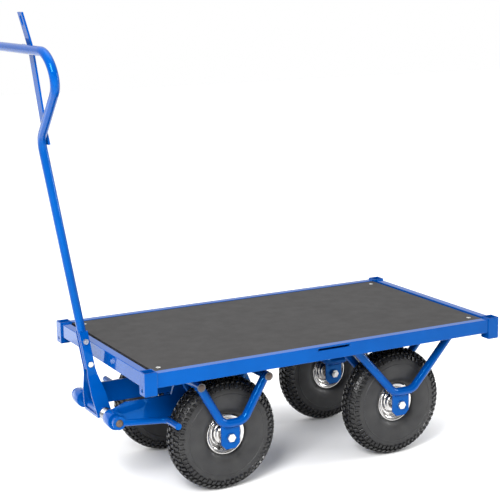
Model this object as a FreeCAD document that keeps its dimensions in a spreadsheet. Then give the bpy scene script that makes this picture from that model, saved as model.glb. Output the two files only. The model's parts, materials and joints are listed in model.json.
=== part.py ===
"""Platform trolley with a turntable bogie, four pneumatic wheels and a braking drawbar.

Millimetres. +X points to the drawbar, +Y to the near side, +Z up.
The origin is on the floor, below the centre of the deck.
"""

import FreeCAD, Part
import math
import os
import re

import Sketcher

doc = FreeCAD.newDocument("PlatformTrolley")
sheet = doc.addObject("Spreadsheet::Sheet", "Sizes")

# Driving dimensions, one cell each. Lengths in millimetres, angles in degrees.
SIZES = {
    # frame
    "platform_length": 1250.0,
    "platform_width": 700.0,
    "frame_top": 442.0,
    "rail_height": 44.0,
    "rail_width": 26.0,
    "rail_wall": 2.5,
    "socket_side": 40.0,
    "socket_wall": 3.0,
    "socket_overhang_x": 5.5,
    "socket_overhang_y": 3.5,
    "socket_top": 447.0,
    "socket_bottom": 377.0,
    "stake_hole_radius": 4.5,
    "stake_hole_height": 15.0,
    "pocket_slot_length": 115.0,
    "pocket_slot_height": 6.0,
    "pocket_slot_drop": 6.0,
    "pocket_plate": 2.0,
    # deck
    "deck_thickness": 15.0,
    "deck_recess": 2.0,
    "deck_gap": 1.0,
    "deck_end_gap": 12.0,
    "deck_screw_x": 558.0,
    "deck_screw_y": 288.0,
    "deck_screw_radius": 3.0,
    "deck_screw_head_radius": 8.0,
    "deck_screw_head_height": 2.5,
    "deck_screw_sink": 0.3,
    "cross_member_width": 40.0,
    "cross_member_wall": 2.0,
    # wheels
    "tyre_radius": 178.0,
    "tyre_width": 84.0,
    "rim_radius": 64.0,
    "rim_half_width": 30.0,
    "rim_metal": 3.0,
    "rim_lip": 6.0,
    "bead_radius": 54.0,
    "bead_clearance": 0.5,
    "bead_corner": 2.0,
    "bead_width": 8.5,
    "bead_seat_depth": 14.0,
    "dish_shoulder_radius": 34.0,
    "dish_shoulder_height": 17.0,
    "dish_floor_inner_radius": 38.0,
    "dish_floor_outer_radius": 45.0,
    "dish_floor_height": 9.0,
    "dish_wall_radius": 49.0,
    "hub_radius": 20.0,
    "hub_weld": 5.0,
    "hub_bore_radius": 16.0,
    "hub_half_length": 50.0,
    "bearing_length": 22.0,
    "bearing_sleeve_radius": 11.0,
    "bolt_clearance": 0.05,
    "side_clearance": 0.3,
    "valve_radius": 3.0,
    "valve_length": 26.0,
    "valve_place_radius": 41.5,
    "valve_start": 10.3,
    "front_valve_angle": 75.0,
    "rear_valve_angle": -60.0,
    "wheel_offset": 204.5,
    "front_axle_x": 315.0,
    "rear_axle_x": -307.0,
    # V-shaped tube forks
    "fork_half_gap": 60.5,
    "fork_tube_radius": 13.45,
    "tube_wall": 2.6,
    "fork_low_z": 222.0,
    "fork_half_bottom": 36.0,
    "fork_bend_radius": 42.0,
    "front_fork_x": 305.0,
    "rear_fork_x": -317.0,
    "front_fork_angle": 60.0,
    "rear_fork_angle": 48.0,
    "axle_plate_width": 62.0,
    "axle_plate_thickness": 6.0,
    "axle_plate_bottom": 142.0,
    "axle_plate_corner": 15.0,
    "axle_plate_rise": 7.0,
    "axle_plate_level": 15.0,
    "axle_bolt_radius": 8.0,
    "axle_head_radius": 13.5,
    "axle_head_height": 9.0,
    "axle_nut_height": 10.8,
    # steering bogie
    "bogie_tube_z": 355.0,
    "bogie_tube_spread": 114.0,
    "bogie_tube_reach": 285.0,
    "tube_cap_height": 4.0,
    "tube_cap_plug": 12.0,
    "turntable_side": 260.0,
    "turntable_plate": 6.0,
    "ring_outer_radius": 112.0,
    "ring_inner_radius": 92.0,
    "kingpin_radius": 12.0,
    "kingpin_head_radius": 22.0,
    "kingpin_head_height": 11.0,
    "arm_inner_y": 110.0,
    "arm_thickness": 8.0,
    "arm_top_z": 292.0,
    "arm_bottom_z": 223.0,
    "arm_shoulder_x": 590.0,
    "arm_riser_x": 440.0,
    "barrel_radius": 27.0,
    "barrel_inner_y": 104.0,
    "barrel_outer_y": 148.0,
    # drawbar, in its own frame: origin on the pivot, Z along the bar
    "pivot_x": 635.0,
    "pivot_z": 248.0,
    "pivot_radius": 12.0,
    "pivot_reach": 170.0,
    "drawbar_lean": 9.9,
    "drawbar_foot_z": 134.0,
    "drawbar_bend_z": 850.0,
    "drawbar_bend_radius": 70.0,
    "grip_z": 1116.0,
    "grip_corner_y": 350.0,
    "grip_bend_radius": 65.0,
    "grip_end_y": -190.0,
    "tow_bar_width": 36.0,
    "tow_bar_thickness": 6.0,
    "tow_bar_start_z": 832.0,
    "tow_bar_kink_z": 1112.0,
    "tow_bar_kink_back": 10.5,
    "tow_bar_tip_z": 1218.0,
    "tow_bar_tip_back": 1.0,
    "tow_slot_edge": 9.0,
    "tow_slot_radius": 7.0,
    "tow_slot_length": 30.0,
    "foot_plate": 4.0,
    "foot_top_z": 255.0,
    "foot_neck_z": 115.0,
    "foot_half_spread": 52.0,
    "foot_half_width": 23.0,
    "foot_tube_radius": 18.0,
    "foot_lip_drop": 10.8,
    "foot_lip_height": 9.9,
    "foot_bolt_low_z": 150.0,
    "foot_bolt_high_z": 224.0,
    "foot_bolt_radius": 5.0,
    "foot_bolt_end": 1.0,
    "foot_head_radius": 8.5,
    "foot_head_height": 5.0,
    "foot_nut_radius": 9.5,
    "foot_nut_height": 8.0,
    "brake_rod_radius": 10.0,
    "brake_rod_x": 494.0,
    "brake_rod_y": 160.0,
    "brake_rod_bend_y": 205.0,
    "brake_rod_z": 246.0,
    "brake_rod_end_y": 280.0,
    "brake_rod_bend_radius": 26.0,
    "brake_eye_radius": 20.5,
    "spring_wire_radius": 2.2,
    "spring_coil_radius": 17.0,
    "spring_pitch": 5.4,
    "spring_turns": 7.0,
    "spring_start_y": 59.0,
    "spring_leg_length": 54.0,
}

for row, (alias, value) in enumerate(SIZES.items(), start=1):
    sheet.set("A%d" % row, alias)
    sheet.set("B%d" % row, repr(value))
    sheet.setAlias("B%d" % row, alias)
doc.recompute()

X_AXIS = FreeCAD.Vector(1, 0, 0)
Y_AXIS = FreeCAD.Vector(0, 1, 0)
Z_AXIS = FreeCAD.Vector(0, 0, 1)
NEAR = 1
FAR = -1
SIDES = (("near", NEAR), ("far", FAR))

nodes = []


def size(alias):
    """Read one driving dimension from the sheet."""
    return float(getattr(sheet, alias))


def bound(expression):
    """Turn an expression in cell names into one that reads them from the sheet."""
    return re.sub(r"[a-z_]+", lambda word: "Sizes." + word[0] if word[0] in SIZES else word[0], expression)


def keep(item, label):
    """Name an object as a finished piece, so that it is written at the end."""
    item.Label = label
    nodes.append(item)
    return item


def box(name, low, high):
    """A Part::Box between two corners given as expressions."""
    item = doc.addObject("Part::Box", name)
    for side, axis, start, end in zip(("Length", "Width", "Height"), "xyz", low, high):
        item.setExpression(side, bound("( %s ) - ( %s )" % (end, start)))
        item.setExpression("Placement.Base.%s" % axis, bound(start))
    return item


def cylinder(name, radius, start, height, along=Z_AXIS):
    """A Part::Cylinder from a start point, given as expressions, along an axis."""
    item = doc.addObject("Part::Cylinder", name)
    item.Placement.Rotation = FreeCAD.Rotation(Z_AXIS, along)
    item.setExpression("Radius", bound(radius))
    item.setExpression("Height", bound(height))
    for axis, expression in zip("xyz", start):
        item.setExpression("Placement.Base.%s" % axis, bound(expression))
    return item


def hexagon(name, circumradius, start, height, along):
    """A Part::Prism with six sides, for bolt heads and nuts."""
    item = doc.addObject("Part::Prism", name)
    item.Polygon = 6
    item.Placement.Rotation = FreeCAD.Rotation(Z_AXIS, along)
    item.setExpression("Circumradius", bound(circumradius))
    item.setExpression("Height", bound(height))
    for axis, expression in zip("xyz", start):
        item.setExpression("Placement.Base.%s" % axis, bound(expression))
    return item


def fuse(name, items):
    """One solid out of several that touch or overlap."""
    item = doc.addObject("Part::MultiFuse", name)
    item.Shapes = items
    item.Refine = True
    return item


def cut(name, base, tools):
    """The base with every tool taken away."""
    tool = tools[0] if len(tools) == 1 else fuse(name + "_tools", tools)
    item = doc.addObject("Part::Cut", name)
    item.Base = base
    item.Tool = tool
    return item


def group(name, items):
    """Several separate solids that make one piece list entry."""
    item = doc.addObject("Part::Compound", name)
    item.Links = items
    return item


def origin_plane(body, role):
    """One of a body's own origin planes."""
    for feature in body.Origin.OriginFeatures:
        if feature.Role == role:
            return feature
    raise ValueError(role)


def new_sketch(body, name, role):
    """A sketch on one of its body's origin planes."""
    sketch = body.newObject("Sketcher::SketchObject", name)
    sketch.AttachmentSupport = [(origin_plane(body, role), "")]
    sketch.MapMode = "FlatFace"
    return sketch


def draw_outline(sketch, corners):
    """A closed outline whose every corner is bound to the sheet by two distances."""
    points = [FreeCAD.Vector(evaluate(across), evaluate(up), 0) for across, up in corners]
    for index, point in enumerate(points):
        following = points[(index + 1) % len(points)]
        sketch.addGeometry(Part.LineSegment(point, following), False)
    for index, (across, up) in enumerate(corners):
        following = (index + 1) % len(corners)
        sketch.addConstraint(Sketcher.Constraint("Coincident", index, 2, following, 1))
        for kind, value, expression in (("DistanceX", points[index].x, across),
                                        ("DistanceY", points[index].y, up)):
            constraint = sketch.addConstraint(Sketcher.Constraint(kind, -1, 1, index, 1, value))
            sketch.setExpression("Constraints[%d]" % constraint, bound(expression))


def evaluate(expression):
    """The present value of an expression in cell names."""
    return float(sheet.evalExpression(expression))


def revolved(name, corners, offset=None):
    """A body turned about its own Z axis from an outline in (radius, height)."""
    body = doc.addObject("PartDesign::Body", name)
    sketch = new_sketch(body, name + "_section", "XZ_Plane")
    draw_outline(sketch, corners)
    turn = body.newObject("PartDesign::Revolution", name + "_turn")
    turn.Profile = sketch
    turn.ReferenceAxis = (sketch, ["V_Axis"])
    turn.Angle = 360.0
    if offset:
        body.Placement = offset
    return body


def padded(name, role, corners, thickness, midplane=True):
    """A body padded from an outline on one of its origin planes."""
    body = doc.addObject("PartDesign::Body", name)
    sketch = new_sketch(body, name + "_outline", role)
    draw_outline(sketch, corners)
    pad = body.newObject("PartDesign::Pad", name + "_pad")
    pad.Profile = sketch
    pad.Midplane = midplane
    pad.setExpression("Length", bound(thickness))
    return body


def rounded_path(corners, radii):
    """Straight runs through the corners, each joined to the next by a tangent arc."""
    edges = []
    start = corners[0]
    for before, corner, after, radius in zip(corners, corners[1:], corners[2:], radii):
        back = (before - corner).normalize()
        ahead = (after - corner).normalize()
        half_angle = back.getAngle(ahead) / 2.0
        tangent = radius / math.tan(half_angle)
        middle = (back + ahead).normalize() * (radius / math.sin(half_angle) - radius)
        arc_start = corner + back * tangent
        arc_end = corner + ahead * tangent
        edges.append(Part.LineSegment(start, arc_start))
        edges.append(Part.Arc(arc_start, corner + middle, arc_end))
        start = arc_end
    edges.append(Part.LineSegment(start, corners[-1]))
    return edges


def bent_tube(name, role, corners, radii, radius, wall=None):
    """A body that sweeps a round section along a bent path on an origin plane.

    The corners are in the sketch's own two directions; radii has one bend for each inner corner.
    """
    body = doc.addObject("PartDesign::Body", name)
    path = new_sketch(body, name + "_path", role)
    points = [FreeCAD.Vector(across, up, 0) for across, up in corners]
    path.addGeometry(rounded_path(points, radii), False)
    doc.recompute()
    section = body.newObject("Sketcher::SketchObject", name + "_section")
    section.AttachmentSupport = [(path, "Edge1")]
    section.MapMode = "NormalToEdge"
    section.MapPathParameter = 0.0
    rings = [radius] if wall is None else [radius, "%s - %s" % (radius, wall)]
    for index, expression in enumerate(rings):
        circle = Part.Circle(FreeCAD.Vector(0, 0, 0), Z_AXIS, evaluate(expression))
        section.addGeometry(circle, False)
        section.addConstraint(Sketcher.Constraint("Coincident", index, 3, -1, 1))
        radius_rule = Sketcher.Constraint("Radius", index, evaluate(expression))
        constraint = section.addConstraint(radius_rule)
        section.setExpression("Constraints[%d]" % constraint, bound(expression))
    doc.recompute()
    pipe = body.newObject("PartDesign::AdditivePipe", name + "_sweep")
    pipe.Profile = section
    pipe.Spine = (path, ["Edge%d" % (index + 1) for index in range(path.GeometryCount)])
    return body


# ---------------------------------------------------------------- frame and deck

FRAME_BOTTOM = "frame_top - rail_height"
DECK_TOP = "frame_top - deck_recess"
DECK_BOTTOM = DECK_TOP + " - deck_thickness"
SOCKET_OUTER_X = "platform_length / 2 + socket_overhang_x"
SOCKET_INNER_X = SOCKET_OUTER_X + " - socket_side"
SOCKET_OUTER_Y = "platform_width / 2 + socket_overhang_y"
SOCKET_INNER_Y = SOCKET_OUTER_Y + " - socket_side"


def mirrored_span(inner, outer, sign):
    """The low and high expressions of a span that is mirrored when sign is negative."""
    if sign > 0:
        return inner, outer
    return "-1 * ( %s )" % outer, "-1 * ( %s )" % inner


def side_rail(side, sign):
    """A long rectangular tube with a slot for the stake pocket in its outer wall."""
    name = "side_rail_%s" % side
    inner_y, outer_y = "platform_width / 2 - rail_width", "platform_width / 2"
    low_y, high_y = mirrored_span(inner_y, outer_y, sign)
    outside = box(name + "_outside", ("-1 * ( %s )" % SOCKET_INNER_X, low_y, FRAME_BOTTOM),
                  (SOCKET_INNER_X, high_y, "frame_top"))
    low_y, high_y = mirrored_span(inner_y + " + rail_wall", outer_y + " - rail_wall", sign)
    inside = box(name + "_inside", ("-1 * ( %s )" % SOCKET_INNER_X, low_y, FRAME_BOTTOM + " + rail_wall"),
                 (SOCKET_INNER_X, high_y, "frame_top - rail_wall"))
    low_y, high_y = mirrored_span(outer_y + " - 2 * rail_wall", outer_y + " + rail_wall", sign)
    slot_top = "frame_top - pocket_slot_drop"
    slot = box(name + "_slot", ("pocket_slot_length / -2", low_y, slot_top + " - pocket_slot_height"),
               ("pocket_slot_length / 2", high_y, slot_top))
    keep(cut(name, outside, [inside, slot]), name)


def end_rail(side, sign):
    """A short rectangular tube across one end."""
    name = "end_rail_%s" % side
    inner_x, outer_x = "platform_length / 2 - rail_width", "platform_length / 2"
    low_x, high_x = mirrored_span(inner_x, outer_x, sign)
    outside = box(name + "_outside", (low_x, "-1 * ( %s )" % SOCKET_INNER_Y, FRAME_BOTTOM),
                  (high_x, SOCKET_INNER_Y, "frame_top"))
    low_x, high_x = mirrored_span(inner_x + " + rail_wall", outer_x + " - rail_wall", sign)
    inside = box(name + "_inside", (low_x, "-1 * ( %s )" % SOCKET_INNER_Y, FRAME_BOTTOM + " + rail_wall"),
                 (high_x, SOCKET_INNER_Y, "frame_top - rail_wall"))
    keep(cut(name, outside, [inside]), name)


def corner_socket(end, end_sign, side, side_sign):
    """A square tube, open above and below, with a pin hole in its end face."""
    name = "corner_socket_%s_%s" % (end, side)
    low_x, high_x = mirrored_span(SOCKET_INNER_X, SOCKET_OUTER_X, end_sign)
    low_y, high_y = mirrored_span(SOCKET_INNER_Y, SOCKET_OUTER_Y, side_sign)
    outside = box(name + "_outside", (low_x, low_y, "socket_bottom"), (high_x, high_y, "socket_top"))
    low_x, high_x = mirrored_span(SOCKET_INNER_X + " + socket_wall", SOCKET_OUTER_X + " - socket_wall",
                                  end_sign)
    low_y, high_y = mirrored_span(SOCKET_INNER_Y + " + socket_wall", SOCKET_OUTER_Y + " - socket_wall",
                                  side_sign)
    inside = box(name + "_inside", (low_x, low_y, "socket_bottom"), (high_x, high_y, "socket_top"))
    middle_y = "%d * ( %s - socket_side / 2 )" % (side_sign, SOCKET_OUTER_Y)
    start_x = "%d * ( %s - 2 * socket_wall )" % (end_sign, SOCKET_OUTER_X)
    hole = cylinder(name + "_hole", "stake_hole_radius",
                    (start_x, middle_y, "socket_bottom + stake_hole_height"), "3 * socket_wall",
                    X_AXIS * end_sign)
    keep(cut(name, outside, [inside, hole]), name)


def side_pocket(side, sign):
    """The folded tray behind a side rail's slot, inside the rail."""
    name = "side_pocket_%s" % side
    inner_y = "platform_width / 2 - rail_width + rail_wall"
    outer_y = "platform_width / 2 - rail_wall"
    low_z = FRAME_BOTTOM + " + rail_wall"
    high_z = "frame_top - pocket_slot_drop"
    low_y, high_y = mirrored_span(inner_y, outer_y, sign)
    outside = box(name + "_outside", ("pocket_slot_length / -2", low_y, low_z),
                  ("pocket_slot_length / 2", high_y, high_z))
    low_y, high_y = mirrored_span(inner_y + " + pocket_plate", outer_y + " + pocket_plate", sign)
    inside = box(name + "_inside",
                 ("pocket_slot_length / -2 + pocket_plate", low_y, low_z + " + pocket_plate"),
                 ("pocket_slot_length / 2 - pocket_plate", high_y, high_z + " + pocket_plate"))
    keep(cut(name, outside, [inside]), name)


def cross_member(index, centre_x):
    """A hidden rectangular tube between the side rails, under the deck."""
    name = "cross_member_%d" % index
    reach = "platform_width / 2 - rail_width"
    outside = box(name + "_outside",
                  (centre_x + " - cross_member_width / 2", "-1 * ( %s )" % reach, FRAME_BOTTOM),
                  (centre_x + " + cross_member_width / 2", reach, DECK_BOTTOM))
    inside = box(name + "_inside",
                 (centre_x + " - cross_member_width / 2 + cross_member_wall", "-1 * ( %s )" % reach,
                  FRAME_BOTTOM + " + cross_member_wall"),
                 (centre_x + " + cross_member_width / 2 - cross_member_wall", reach,
                  DECK_BOTTOM + " - cross_member_wall"))
    keep(cut(name, outside, [inside]), name)


SCREW_SEAT = DECK_TOP + " - deck_screw_sink - deck_screw_head_height"


def screw_places():
    """The four deck screws, as expressions."""
    return [("%d * deck_screw_x" % end, "%d * deck_screw_y" % side) for end in (1, -1) for side in (1, -1)]


def deck_panel():
    """The anti-slip board, let in between the rails and a little short of the end rails."""
    half_x = "platform_length / 2 - rail_width - deck_end_gap"
    half_y = "platform_width / 2 - rail_width - deck_gap"
    board = box("deck_board", ("-1 * ( %s )" % half_x, "-1 * ( %s )" % half_y, DECK_BOTTOM),
                (half_x, half_y, DECK_TOP))
    tools = []
    for place_x, place_y in screw_places():
        tools.append(cylinder("deck_hole", "deck_screw_radius", (place_x, place_y, DECK_BOTTOM),
                              "deck_thickness"))
        tools.append(cylinder("deck_counterbore", "deck_screw_head_radius + side_clearance",
                              (place_x, place_y, SCREW_SEAT), "deck_screw_head_height + deck_screw_sink"))
    keep(cut("deck_panel", board, tools), "deck_panel")


def deck_screws():
    """Four screws through the board, with their flat heads let into it."""
    screws = []
    for place_x, place_y in screw_places():
        shank = cylinder("deck_screw_shank", "deck_screw_radius", (place_x, place_y, DECK_BOTTOM),
                         "deck_thickness - deck_screw_sink")
        head = cylinder("deck_screw_head", "deck_screw_head_radius", (place_x, place_y, SCREW_SEAT),
                        "deck_screw_head_height")
        screws.append(fuse("deck_screw", [shank, head]))
    keep(group("deck_screws", screws), "deck_screws")


def build_frame():
    for side, sign in SIDES:
        side_rail(side, sign)
        side_pocket(side, sign)
    for end, end_sign in (("front", 1), ("rear", -1)):
        end_rail(end, end_sign)
        for side, side_sign in SIDES:
            corner_socket(end, end_sign, side, side_sign)
    rise = "( %s - fork_low_z )" % FRAME_BOTTOM
    reach = "( fork_half_bottom + %s / tan(rear_fork_angle) )" % rise
    member_places = ("front_fork_x + turntable_side / 2", "front_fork_x - turntable_side / 2",
                     "rear_fork_x + %s" % reach, "rear_fork_x - %s" % reach)
    for index, centre_x in enumerate(member_places, start=1):
        cross_member(index, centre_x)
    deck_panel()
    deck_screws()


# ---------------------------------------------------------------- forks and axles

PLATE_TOP = "fork_low_z - fork_tube_radius + tube_wall / 2"


def fork(name, centre_x, axle_x, sign_y, angle, top_z, cope_tubes):
    """A tube bent to a V with the axle plate welded under it.

    The legs end level at top_z, or coped round the bogie's cross tubes.
    """
    low_z = size("fork_low_z")
    half_bottom = size("fork_half_bottom")
    rise = top_z - low_z
    reach = half_bottom + rise / math.tan(math.radians(size(angle)))
    middle_x = size(centre_x)
    corners = [(middle_x - reach, top_z), (middle_x - half_bottom, low_z),
               (middle_x + half_bottom, low_z), (middle_x + reach, top_z)]
    bend = size("fork_bend_radius")
    tube = bent_tube(name + "_tube", "XZ_Plane", corners, [bend, bend], "fork_tube_radius", "tube_wall")
    tube.setExpression("Placement.Base.y", bound(sign_y))
    plate = padded(name + "_plate", "XZ_Plane", [
        (axle_x + " - axle_plate_width / 2", PLATE_TOP),
        (axle_x + " - axle_plate_width / 2", "axle_plate_bottom + axle_plate_corner"),
        (axle_x + " - axle_plate_width / 2 + axle_plate_corner", "axle_plate_bottom"),
        (axle_x + " + axle_plate_width / 2 - axle_plate_corner", "axle_plate_bottom"),
        (axle_x + " + axle_plate_width / 2", "axle_plate_bottom + axle_plate_corner"),
        (axle_x + " + axle_plate_width / 2", PLATE_TOP + " + axle_plate_rise"),
        (centre_x + " + axle_plate_level", PLATE_TOP),
    ], "axle_plate_thickness")
    plate.setExpression("Placement.Base.y", bound(sign_y))
    hole = cylinder(name + "_hole", "axle_bolt_radius",
                    (axle_x, sign_y + " - axle_plate_thickness", "tyre_radius"),
                    "2 * axle_plate_thickness", Y_AXIS)
    tools = [hole]
    for place_x in cope_tubes:
        tools.append(cylinder(name + "_cope", "fork_tube_radius",
                              (place_x, sign_y + " - 2 * fork_tube_radius", "bogie_tube_z"),
                              "4 * fork_tube_radius", Y_AXIS))
        tools.append(box(name + "_trim", (place_x + " - 2 * fork_tube_radius",
                                          sign_y + " - 2 * fork_tube_radius", "bogie_tube_z"),
                         (place_x + " + 2 * fork_tube_radius", sign_y + " + 2 * fork_tube_radius",
                          "bogie_tube_z + 3 * fork_tube_radius")))
    if not cope_tubes:
        tools.append(box(name + "_trim", (centre_x + " - 10 * fork_half_bottom",
                                          sign_y + " - 2 * fork_tube_radius", FRAME_BOTTOM),
                         (centre_x + " + 10 * fork_half_bottom", sign_y + " + 2 * fork_tube_radius",
                          FRAME_BOTTOM + " + 3 * fork_tube_radius")))
    welded = fuse(name + "_welded", [tube, plate])
    keep(cut(name, welded, tools), name)


def fork_side(sign, place):
    """The Y of a fork's tube: outside or inside of its wheel."""
    return "%d * ( wheel_offset %s fork_half_gap )" % (sign, "+" if place == "outer" else "-")


def axle_fasteners(name, axle_x):
    """One through bolt with its nut for each wheel of an axle."""
    solids = []
    for side, sign in SIDES:
        outer_face = "%d * ( wheel_offset + fork_half_gap + axle_plate_thickness / 2 )" % sign
        inner_face = "%d * ( wheel_offset - fork_half_gap - axle_plate_thickness / 2 )" % sign
        outward = Y_AXIS * sign
        head = hexagon(name + "_head", "axle_head_radius", (axle_x, outer_face, "tyre_radius"),
                       "axle_head_height", outward)
        shank = cylinder(name + "_shank", "axle_bolt_radius",
                         (axle_x, "%s + %d * axle_head_height / 2" % (outer_face, sign), "tyre_radius"),
                         "2 * fork_half_gap + axle_plate_thickness + axle_head_height + axle_nut_height",
                         outward * -1)
        bolt = fuse(name + "_bolt", [head, shank])
        nut_block = hexagon(name + "_nut_block", "axle_head_radius", (axle_x, inner_face, "tyre_radius"),
                            "axle_nut_height", outward * -1)
        nut_hole = cylinder(name + "_nut_hole", "axle_bolt_radius", (axle_x, inner_face, "tyre_radius"),
                            "axle_nut_height", outward * -1)
        solids += [bolt, cut(name + "_nut", nut_block, [nut_hole])]
    keep(group(name, solids), name)


def build_forks():
    bogie_tubes = ("front_fork_x + bogie_tube_spread", "front_fork_x - bogie_tube_spread")
    leg_past_tube = size("bogie_tube_z") + size("fork_tube_radius") / 2.0
    leg_past_frame = size("frame_top") - size("rail_height") + size("fork_tube_radius")
    for side, sign in SIDES:
        for place in ("outer", "inner"):
            place_y = fork_side(sign, place)
            fork("front_fork_%s_%s" % (place, side), "front_fork_x", "front_axle_x", place_y,
                 "front_fork_angle", leg_past_tube, bogie_tubes)
            fork("rear_fork_%s_%s" % (place, side), "rear_fork_x", "rear_axle_x", place_y,
                 "rear_fork_angle", leg_past_frame, ())
    axle_fasteners("front_axle_fasteners", "front_axle_x")
    axle_fasteners("rear_axle_fasteners", "rear_axle_x")


# ---------------------------------------------------------------- turntable and bogie

def turntable_ring(name, start_z, height):
    """A flat-faced ring about the kingpin."""
    outer = cylinder(name + "_outer", "ring_outer_radius", ("front_fork_x", "0", start_z), height)
    inner = cylinder(name + "_inner", "ring_inner_radius", ("front_fork_x", "0", start_z), height)
    return cut(name, outer, [inner])


def turntable_plate(name, low_z, ring_z, ring_height, bore_radius):
    """A square plate with a ring on one face and the kingpin's bore."""
    half = "turntable_side / 2"
    plate = box(name + "_square", ("front_fork_x - %s" % half, "-1 * %s" % half, low_z),
                ("front_fork_x + %s" % half, half, low_z + " + turntable_plate"))
    ring = turntable_ring(name + "_ring", ring_z, ring_height)
    bore = cylinder(name + "_bore", bore_radius, ("front_fork_x", "0", low_z), "turntable_plate")
    keep(cut(name, fuse(name + "_welded", [plate, ring]), [bore]), name)


def build_turntable():
    base_z = "bogie_tube_z + fork_tube_radius"
    base_top = base_z + " + turntable_plate"
    top_z = FRAME_BOTTOM + " - turntable_plate"
    meeting_z = "( ( %s ) + ( %s ) ) / 2" % (base_top, top_z)
    turntable_plate("turntable_base_plate", base_z, base_top,
                    "%s - ( %s ) - side_clearance / 2" % (meeting_z, base_top), "kingpin_radius")
    turntable_plate("turntable_top_plate", top_z, meeting_z + " + side_clearance / 2",
                    "%s - %s - side_clearance / 2" % (top_z, meeting_z),
                    "kingpin_radius + bolt_clearance")
    shank = cylinder("kingpin_shank", "kingpin_radius", ("front_fork_x", "0", base_z),
                     "%s - ( %s ) + kingpin_head_height" % (FRAME_BOTTOM, base_z))
    head = cylinder("kingpin_head", "kingpin_head_radius",
                    ("front_fork_x", "0", base_z + " - kingpin_head_height"), "kingpin_head_height")
    nut = cylinder("kingpin_nut", "kingpin_head_radius",
                   ("front_fork_x", "0", FRAME_BOTTOM + " + side_clearance"), "kingpin_head_height")
    keep(fuse("kingpin", [shank, head, nut]), "kingpin")


def bogie_tube(name, place_x):
    """One of the two cross tubes between the turntable and the forks."""
    outside = cylinder(name + "_outside", "fork_tube_radius",
                       (place_x, "-1 * bogie_tube_reach", "bogie_tube_z"), "2 * bogie_tube_reach", Y_AXIS)
    inside = cylinder(name + "_inside", "fork_tube_radius - tube_wall",
                      (place_x, "-1 * bogie_tube_reach", "bogie_tube_z"), "2 * bogie_tube_reach", Y_AXIS)
    keep(cut(name, outside, [inside]), name)


def end_cap(name, radius, plug_radius, place_x, place_z, face_y, sign):
    """A plastic cap: a plug inside the tube and a flange over its end."""
    plug = cylinder(name + "_plug", plug_radius,
                    (place_x, "%d * ( %s )" % (sign, face_y), place_z), "tube_cap_plug",
                    Y_AXIS * -sign)
    flange = cylinder(name + "_flange", radius,
                      (place_x, "%d * ( %s )" % (sign, face_y), place_z), "tube_cap_height", Y_AXIS * sign)
    return fuse(name, [plug, flange])


def steering_arm(side, sign):
    """A plate that carries the drawbar's pivot barrel out in front of the bogie."""
    name = "steering_arm_%s" % side
    tube_x = "front_fork_x - bogie_tube_spread"
    plate = padded(name + "_plate", "XZ_Plane", [
        ("pivot_x", "pivot_z - barrel_radius"),
        ("pivot_x", "pivot_z + barrel_radius"),
        ("arm_shoulder_x", "arm_top_z"),
        ("arm_riser_x", "arm_top_z"),
        ("front_fork_x + bogie_tube_spread", "bogie_tube_z"),
        (tube_x, "bogie_tube_z"),
        (tube_x + " - 2 * fork_tube_radius", "arm_top_z"),
        ("front_fork_x - fork_half_bottom", "arm_bottom_z"),
        ("arm_shoulder_x", "arm_bottom_z"),
    ], "arm_thickness")
    middle_y = "%d * ( arm_inner_y + arm_thickness / 2 )" % sign
    plate.setExpression("Placement.Base.y", bound(middle_y))
    barrel = cylinder(name + "_barrel", "barrel_radius",
                      ("pivot_x", "%d * barrel_inner_y" % sign, "pivot_z"),
                      "barrel_outer_y - barrel_inner_y", Y_AXIS * sign)
    bore = cylinder(name + "_bore", "pivot_radius + bolt_clearance", ("pivot_x", "0", "pivot_z"),
                    "2 * barrel_outer_y", Y_AXIS * sign)
    tools = [bore]
    for place_x in ("front_fork_x + bogie_tube_spread", tube_x):
        tools.append(cylinder(name + "_cope", "fork_tube_radius",
                              (place_x, "%s - 2 * arm_thickness" % middle_y, "bogie_tube_z"),
                              "4 * arm_thickness", Y_AXIS))
    keep(cut(name, fuse(name + "_welded", [plate, barrel]), tools), name)


def build_bogie():
    build_turntable()
    caps = []
    for name, place_x in (("front", "front_fork_x + bogie_tube_spread"),
                          ("rear", "front_fork_x - bogie_tube_spread")):
        bogie_tube("bogie_tube_%s" % name, place_x)
        for side, sign in SIDES:
            caps.append(end_cap("bogie_cap", "fork_tube_radius", "fork_tube_radius - tube_wall", place_x,
                                "bogie_tube_z", "bogie_tube_reach", sign))
    keep(group("bogie_tube_caps", caps), "bogie_tube_caps")
    for side, sign in SIDES:
        steering_arm(side, sign)


# ---------------------------------------------------------------- wheels

def wheel_placement(axle_x, sign):
    """Turn a wheel's own Z axis to point outwards, and put it on its axle."""
    turn = FreeCAD.Rotation(Z_AXIS, Y_AXIS * sign)
    place = FreeCAD.Vector(size(axle_x), sign * size("wheel_offset"), size("tyre_radius"))
    return FreeCAD.Placement(place, turn)


def mirrored_outline(half):
    """Complete an outline given for positive heights by its mirror image."""
    lower = [(radius, "-1 * ( %s )" % height) for radius, height in reversed(half)]
    return half + lower


BEAD_FACE = "rim_half_width - rim_metal - bead_clearance"

# The tyre's section from the rim to the crown: share of the tyre's radius, share of its width.
TYRE_OUTSIDE = ((0.4, 0.44), (0.52, 0.5), (0.72, 0.5), (0.86, 0.46), (0.95, 0.38), (0.985, 0.26), (1, 0.12))
TYRE_INSIDE = ((0.55, 0.38), (0.8, 0.38), (0.9, 0.2))


def tyre_points(shares):
    """Outline points from shares of the tyre's radius and width."""
    return [("%s * tyre_radius" % radius, "%s * tyre_width" % width) for radius, width in shares]


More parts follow.
